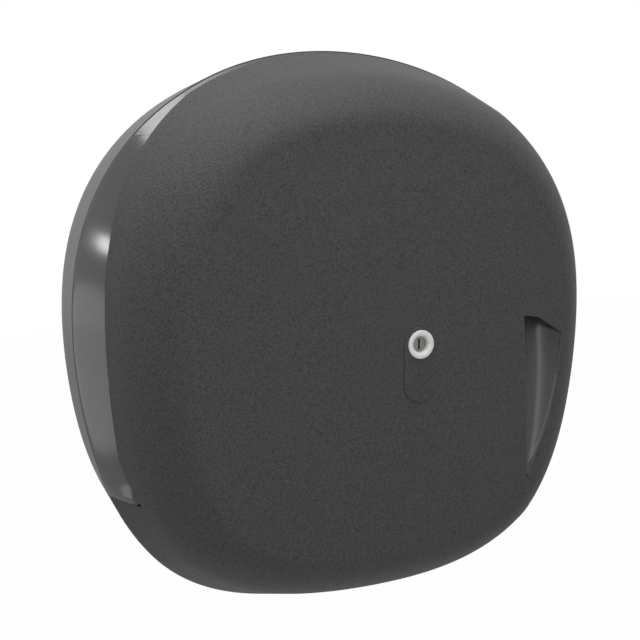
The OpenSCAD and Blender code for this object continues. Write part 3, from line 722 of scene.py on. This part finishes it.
# ---- The windows --------------------------------------------------------------------------------
FOOT_FLARE, FLARE_CURVE = 11, 1.6   # height over which the window's foot swells to the chin, and how late
SKIRT_LINE, SKIRT_BLEND = 1.6, 4.5  # where the swell ends short of the cover's edge, and over how much
PANE_BOW, BOW_FADE = 0.35, 45       # how far the pane bows out, and how far below its top it does so in full
BROKEN_EDGE = 0.12                  # how far its rear outer edge is broken
FLANGE, FLANGE_ROOT = 2, 0.8        # the flange's thickness, and how far it runs on into the pane
FIRST_RING, EVEN_RINGS, EVEN_END = 0.5, 6, 8     # rings by the crease and on to this far short of the edge
EDGE_RINGS = (-5, -3.4, -2, 0, 3, LIP)           # depths of the rings about the cover's edge, from that edge
PANE_ROWS, FOOT_ROWS, FOOT_STEP = 70, 37, 0.5    # sections down the pane and its foot, in degrees
PANE_ABOVE, PANE_BELOW = 10, 8                   # degrees past the pane's ends, cut off level
TAB_LOW, TAB_HIGH, TAB_HALF, TABS_Z = (154, 46.5), (167, 49.5), 6, (-50, 50)


def window_section(t):
    """A closed section of a pane: its outside, its inside and the flange behind the case."""
    c, e = crease(t), edge(t)
    base, back = c + WINDOW_REVEAL + SNUG, c - LIP
    depths = [base, base + FIRST_RING]
    depths += [base + (e - EVEN_END - base) * i / EVEN_RINGS for i in range(1, EVEN_RINGS + 1)]
    depths += [e + step for step in EDGE_RINGS]
    z = outline(t).y
    swell = min(max(0, 1 - (z + CHIN_Z) / FOOT_FLARE) ** FLARE_CURVE, 1)
    fullness = clamped((WINDOW_TOP - z) / BOW_FADE)

    def out(d):
        """How far the bow and the flare of the foot stand out from a straight pane at a depth."""
        share = clamped((d - base) / (e - base))
        short = clamped((e - SKIRT_LINE - d) / SKIRT_BLEND)
        flare = swell * (case_inset(t, d) - cover_inset(t, d))
        return PANE_BOW * 4 * share * (1 - share) * fullness + flare * (short * short * (3 - 2 * short))

    outer = [spot(t, case_inset(t, d) - out(d), d) for d in depths]
    outer[0] = spot(t, case_inset(t, base) - out(base) + BROKEN_EDGE, base)
    inner = [spot(t, case_inset(t, d) + WALL, d) for d in reversed(depths[2:])]
    near, far = WALL + SNUG, WALL + SNUG + FLANGE
    tail = [
        spot(t, case_inset(t, d) + f, d)
        for d, f in ((base + FLANGE_ROOT, far), (back, far), (back, near), (base, near))
    ]
    return outer + inner + tail


def window_shell(side):
    """One pane with its two tabs, on the right for side 1 and on the left for -1."""
    first = solve(lambda t: outline(t).y - WINDOW_TOP, 0, 90) - PANE_ABOVE
    foot = T_CHIN + PANE_BELOW - FOOT_STEP * (FOOT_ROWS - 1)
    angles = [first + (foot - first) * i / PANE_ROWS for i in range(PANE_ROWS)]
    angles += [foot + FOOT_STEP * i for i in range(FOOT_ROWS)]
    sections = [window_section(t) for t in angles]
    bm = lofted([s + [s[0]] for s in sections])
    bmesh.ops.remove_doubles(bm, verts=bm.verts, dist=NEAR)
    for z, up in ((WINDOW_TOP - SNUG, 1), (WINDOW_FOOT, -1)):
        halved(bm, (0, z), (0, up))
    closed_up(bm)
    for z in TABS_Z:
        box_into(bm, (*TAB_LOW, z - TAB_HALF), (*TAB_HIGH, z + TAB_HALF))
    if side < 0:
        bmesh.ops.scale(bm, vec=(-1, 1, 1), verts=bm.verts)
    bmesh.ops.recalc_face_normals(bm, faces=bm.faces)
    return bm


for name, side in (("window_left", -1), ("window_right", 1)):
    finished(name + "_pane", window_shell(side), "case", SMOKED, name)


# ---- The lock -----------------------------------------------------------------------------------
PAD_W, PAD_LENGTH, PAD_HOLE, PAD_SEGMENTS = 23, 49, 7.1, 96
PAD_SINK, PAD_BRIM = 1.2, 0.45    # how far it reaches into the cover, and the rounding of its brim


def lock_pad():
    """The oblong pad round the collar and below it, with a softly rounded upper edge."""
    bm = bmesh.new()
    place = upright(LOCK_X, BODY_D - PAD_SINK, 0)
    bmesh.ops.create_circle(bm, segments=PAD_SEGMENTS, radius=PAD_HOLE * MM, matrix=place)
    around = bmesh.ops.create_circle(bm, segments=PAD_SEGMENTS, radius=PAD_W / 2 * MM, matrix=place)["verts"]
    for v in around:
        if v.co.z < -1e-7:
            v.co.z -= (PAD_LENGTH - PAD_W) * MM
    bmesh.ops.bridge_loops(bm, edges=list(bm.edges))
    outer = {(round(v.co.x, 6), round(v.co.z, 6)) for v in around}
    top = verts_of(bmesh.ops.extrude_face_region(bm, geom=list(bm.faces))["geom"])
    bmesh.ops.translate(bm, vec=Vector((0, -PAD_SINK - LOCK_RISE, 0)) * MM, verts=list(top))
    brim = [
        e for e in bm.edges
        if all(v in top and (round(v.co.x, 6), round(v.co.z, 6)) in outer for v in e.verts)
    ]
    bmesh.ops.bevel(
        bm, geom=brim, offset=PAD_BRIM * MM, affect="EDGES", segments=3, profile=0.5, material=-1
    )
    bmesh.ops.recalc_face_normals(bm, faces=bm.faces)
    return bm


finished("lock_pad", lock_pad(), "cover", GRAINED, "lock_plate")

# The collar's section as radius and depth: its thread, its flange on the pad, its dished front and its bore
SEAT, COLLAR_BACK, BORE_STEP = BODY_D + LOCK_RISE, 122.25, 131
COLLAR = [
    (7, COLLAR_BACK), (7, SEAT), (8.9, SEAT), (9.2, SEAT + 0.25), (9.2, SEAT + 0.65), (9.05, SEAT + 0.95),
    (8.6, SEAT + 1.18), (6.9, SEAT + 1.18), (6.2, SEAT + 0.9), (5.5, SEAT + 0.1), (5.1, SEAT - 0.7),
    (5.1, BORE_STEP), (4.31, BORE_STEP), (4.31, COLLAR_BACK),
]
finished("collar_ring", turned(COLLAR, LOCK_X, 0), "cover", ACETAL, "lock_collar")


# ---- The grip's liner ---------------------------------------------------------------------------
# A ball that grows as it runs from the foot of the recess to its top: x, depth, z and radius
FOOT_BALL, TOP_BALL = (108, 139.88, -100.5, 8), (122, 153.88, 13.5, 36)
BALL_STEPS, BALL_THIRDS = 40, 22   # coarse and fine steps of the search for the ball over a point
LINER_WALL, LINER_GRID, LINER_WELD = 1.6, 0.7, 0.12
LINER_MIDDLE, LINER_HALF_W, LINER_HALF_H = (115, 130, -42), 22, 60
WALL_START, WALL_SLOPE = 0.7, 1.6  # depth of the right wall at its rim, and how steeply it falls
DISH_BLEND, LEAST_DEPTH = 10, 0.3  # over how much wall and floor run together, and the shallowest floor
CORNER = 0.15                      # how near a second side a point on the loop is at its corner
# The liner's lip, from the dish's wall out under the cover, as steps outward and steps below the face
LIP_STEPS = [(0, 0.6), (0.08, 0.34), (0.25, 0.16), (0.5, 0.08), (0.7, 0.1), (1.2, 0.4), (1.2, 1.3)]
LIP_RISE, LIP_UNDER = 0.05, 1      # least rise of the lip over the dish's rim, until it is this deep


def ball_depth(x, z, s):
    """Depth of the back of the ball over a point, at a share of its run."""
    cx, cd, cz, r = (a + (b - a) * s for a, b in zip(FOOT_BALL, TOP_BALL))
    q = r * r - (x - cx) ** 2 - (z - cz) ** 2
    return cd - math.sqrt(q) if q > 0 else 1e3


def scoop_depth(x, z):
    """Depth of the dish that the ball sweeps out."""
    best = min(range(BALL_STEPS + 1), key=lambda i: ball_depth(x, z, i / BALL_STEPS)) / BALL_STEPS
    low, high = max(best - 1 / BALL_STEPS, 0), min(best + 1 / BALL_STEPS, 1)
    for _ in range(BALL_THIRDS):
        a, b = low + (high - low) / 3, high - (high - low) / 3
        low, high = (low, b) if ball_depth(x, z, a) < ball_depth(x, z, b) else (a, high)
    return min(ball_depth(x, z, (low + high) / 2), ball_depth(x, z, best))


def side_gap(p, a, b):
    return (p - a - clamped((p - a).dot(b - a) / (b - a).length_squared) * (b - a)).length


def right_distance(p, loop):
    """How far a point is from the curved right side of the recess."""
    return min(side_gap(p, a, b) for a, b in zip(loop[2:], loop[3:]))


def way_out(p, loop, middle):
    """How to leave a loop from a point on it: square to its side, or along the mitre at a corner."""
    sides = sorted(sides_of(loop), key=lambda side: side_gap(p, *side))[:2]
    first, second = (outward(a, b, middle) for a, b in sides)
    if side_gap(p, *sides[1]) > CORNER:
        return first
    return (first + second) / (1 + first.dot(second))


def blended_least(a, b, reach):
    """The lesser of two values, rounded off where they are about equal."""
    h = clamped(0.5 + 0.5 * (b - a) / reach)
    return b + (a - b) * h - reach * h * (1 - h)


def dish_over(loop, middle):
    """The dished floor and walls, as one sheet that ends at the loop."""
    bm = bmesh.new()
    place = upright(*LINER_MIDDLE) @ Matrix.Diagonal((LINER_HALF_W, LINER_HALF_H, 1, 1))
    bmesh.ops.create_grid(
        bm, x_segments=round(2 * LINER_HALF_W / LINER_GRID), y_segments=round(2 * LINER_HALF_H / LINER_GRID),
        size=MM, matrix=place,
    )
    for a, b in sides_of(loop):
        halved(bm, a, outward(a, b, middle))
    bmesh.ops.remove_doubles(bm, verts=bm.verts, dist=LINER_WELD * MM)
    for v in bm.verts:
        x, z = v.co.x / MM, v.co.z / MM
        face = cover_depth(x, z)
        wall = WALL_START + WALL_SLOPE * right_distance(Vector((x, z)), loop)
        deep = blended_least(face - scoop_depth(x, z), wall, DISH_BLEND)
        v.co.y = -(face - max(deep, LEAST_DEPTH)) * MM
    return bm


def grip_liner():
    """The dish with its thickness and a flush lip round it that runs in under the cover."""
    loop = grip_outline()
    middle = sum(loop, Vector((0, 0))) / len(loop)
    bm = dish_over(loop, middle)
    back_verts = verts_of(bmesh.ops.duplicate(bm, geom=everything(bm))["geom"])
    bmesh.ops.translate(bm, vec=(0, LINER_WALL * MM, 0), verts=list(back_verts))
    brim = [e for e in bm.edges if e.is_boundary and e.verts[0] not in back_verts]
    start = {}
    for e in brim:
        for v in e.verts:
            p = Vector((v.co.x, v.co.z)) / MM
            start[v] = (p, way_out(p, loop, middle), -v.co.y / MM)
    for away, lag in LIP_STEPS:
        grown = bmesh.ops.extrude_edge_only(bm, edges=brim)["geom"]
        fresh = verts_of(grown)
        for v in fresh:
            old = next(e.other_vert(v) for e in v.link_edges if e.other_vert(v) not in fresh)
            p, out, floor_depth = start[v] = start[old]
            q = p + away * out
            least = floor_depth + LIP_RISE if lag < LIP_UNDER else 0
            v.co = Vector((q.x, -max(cover_depth(*q) - lag, least), q.y)) * MM
        brim = [e for e in bm.edges if e.is_boundary and all(v in fresh for v in e.verts)]
    rear = [e for e in bm.edges if e.is_boundary and all(v in back_verts for v in e.verts)]
    bmesh.ops.bridge_loops(bm, edges=brim + rear)
    bmesh.ops.recalc_face_normals(bm, faces=bm.faces)
    return bm


finished("grip_liner", grip_liner(), "cover", DISHED, "grip_insert", sharp=50)


# ---- Mouldings and metal parts that keep the CAD shape ------------------------------------------
FLAT = math.radians(0.3)   # facets that differ by less are one
INNER_REACH = 130          # nothing nearer to the middle is part of the case's outer wall
WALL_MATCH = 0.2           # how near the formula's skin a point of the outer wall lies


def merged(node):
    """A copy of a CAD node with its loose triangles joined."""
    bm = bmesh.new()
    bm.from_mesh(frame["nodes"][node].data)
    bmesh.ops.remove_doubles(bm, verts=bm.verts, dist=WELD)
    bmesh.ops.dissolve_limit(bm, angle_limit=FLAT, verts=bm.verts, edges=bm.edges)
    return bm


def tucked_in(bm):
    """Draws the case's own outer wall in under the smooth skin."""
    for v in bm.verts:
        x, d, z = v.co.x / MM, -v.co.y / MM, v.co.z / MM
        reach = math.hypot(x, z)
        if reach < INNER_REACH:
            continue
        t = math.degrees(math.atan2(x, z)) % 360
        for _ in range(AIM_STEPS):
            s = station(t, case_inset(t, d) + rear_round(d))
            t += (math.degrees(math.atan2(x, z) - math.atan2(s.x, s.y)) + 180) % 360 - 180
        if abs(s.length - reach) < WALL_MATCH:
            keep = (s.length - SUNK) / reach
            v.co.x, v.co.z = v.co.x * keep, v.co.z * keep
    return bm


SLOT_OF = {s["node"]: s["material_slot"] for s in frame["record"]["subparts"]}
BODY_OF = {n: b for b, ns in frame["record"]["behaviour"]["bodies"].items() for n in ns}
REPLACED = {"front_cover", "window_left", "window_right", "lock_plate", "lock_collar", "grip_insert"}
for node in sorted(frame["nodes"]):
    if node in REPLACED:
        continue
    slot = SLOT_OF[node]
    shape = tucked_in(merged(node)) if node == "rear_case" else merged(node)
    finished(node + "_finished", shape, BODY_OF[node], FINISHES[slot], node, sharp=28)


# ---- Floor, light and camera --------------------------------------------------------------------
def background_rays(tree, straight=1.0, indirect=1.0):
    """How far the background shows white: straight to the camera, or in a reflection or glass."""
    path = add(tree, "ShaderNodeLightPath").outputs
    mirrored_rays = calculated(tree, "MAXIMUM", path["Is Glossy Ray"], path["Is Transmission Ray"])
    return calculated(
        tree, "MAXIMUM",
        calculated(tree, "MULTIPLY", path["Is Camera Ray"], straight),
        calculated(tree, "MULTIPLY", mirrored_rays, indirect),
    )


WORLD_FILL = 0.36                  # how strongly the white room lights dull surfaces
FLOOR_Z, FLOOR_HALF, FLOOR_GREY = -0.9, 6, "#D6D6D6"
FLOOR_WHITE, FLOOR_MIRRORED = 0.98, 0.5    # how white the floor is to the camera and in reflections

world = bpy.data.worlds.new("white_studio")
bpy.context.scene.world = world
world.use_nodes = True
tree = world.node_tree
level = add(tree, "ShaderNodeMapRange", Value=background_rays(tree), To_Min=WORLD_FILL, To_Max=1.0)
tree.nodes["Background"].inputs["Color"].default_value = (1, 1, 1, 1)
tree.links.new(level.outputs[0], tree.nodes["Background"].inputs["Strength"])

bm = bmesh.new()
place = Matrix.Translation((0, 0, FLOOR_Z))
bmesh.ops.create_grid(bm, x_segments=1, y_segments=1, size=FLOOR_HALF, matrix=place)
floor_mesh = bpy.data.meshes.new("studio_floor")
bm.to_mesh(floor_mesh)
bm.free()
floor = bpy.data.objects.new("studio_floor", floor_mesh)
bpy.context.scene.collection.objects.link(floor)
pale = bpy.data.materials.new("pale_floor")
pale.use_nodes = True
tree = pale.node_tree
shader = tree.nodes["Principled BSDF"]
shader.inputs["Base Color"].default_value = linear(FLOOR_GREY)
shader.inputs["Roughness"].default_value = 0.9
white = add(tree, "ShaderNodeEmission", Color=(1, 1, 1, 1), Strength=1.0)
share = background_rays(tree, FLOOR_WHITE, FLOOR_MIRRORED)
blend = add(tree, "ShaderNodeMixShader", _0=share, _1=shader.outputs[0], _2=white.outputs[0])
tree.links.new(blend.outputs[0], tree.nodes["Material Output"].inputs["Surface"])
floor_mesh.materials.append(pale)


def aimed(thing, place, target):
    """Puts a lamp or camera in the scene and points it."""
    thing.location = place
    thing.rotation_euler = (Vector(target) - Vector(place)).to_track_quat("-Z", "Y").to_euler()
    bpy.context.scene.collection.objects.link(thing)


# Each round lamp's place, what it points at, its diameter in metres and its watts
for name, place, target, size, watts in (
    ("top_softbox", (-0.15, -0.45, 1.5), (0, -0.05, 0), 1.2, 16.8),
    ("left_softbox", (-1.5, 0.51, 0.41), (-0.17, -0.07, 0.06), 0.14, 0.8),
    ("brow_softbox", (-0.75, 0.24, 1.48), (-0.13, -0.06, 0.14), 0.7, 8.5),
    ("low_left_softbox", (-1.51, 0.67, -0.38), (-0.17, -0.07, -0.02), 0.95, 2.2),
    ("front_softbox", (-0.05, -1.96, 0.37), (0, -0.05, 0), 1.3, 9.8),
):
    lamp = bpy.data.lights.new(name, "AREA")
    lamp.shape, lamp.size, lamp.energy = "DISK", size, watts
    aimed(bpy.data.objects.new(name, lamp), place, target)

AZIMUTH, ELEVATION, DISTANCE = math.radians(-24.575), math.radians(7.896), 0.81
FOCAL_PX, CENTRE_X, CENTRE_Y, FRAME_PX = 1095.8, 305.22, 319.3, 640
camera_data = bpy.data.cameras.new("camera")
camera_data.sensor_width = 36
camera_data.lens = FOCAL_PX / FRAME_PX * camera_data.sensor_width
camera_data.shift_x = (FRAME_PX / 2 - CENTRE_X) / FRAME_PX
camera_data.shift_y = (CENTRE_Y - FRAME_PX / 2) / FRAME_PX
camera_data.clip_start = 0.01
camera = bpy.data.objects.new("camera", camera_data)
level_reach = DISTANCE * math.cos(ELEVATION)
aimed(camera, (
    level_reach * math.sin(AZIMUTH), -level_reach * math.cos(AZIMUTH), DISTANCE * math.sin(ELEVATION)
), (0, 0, 0))
bpy.context.scene.camera = camera
bpy.context.scene.view_settings.view_transform = "Standard"
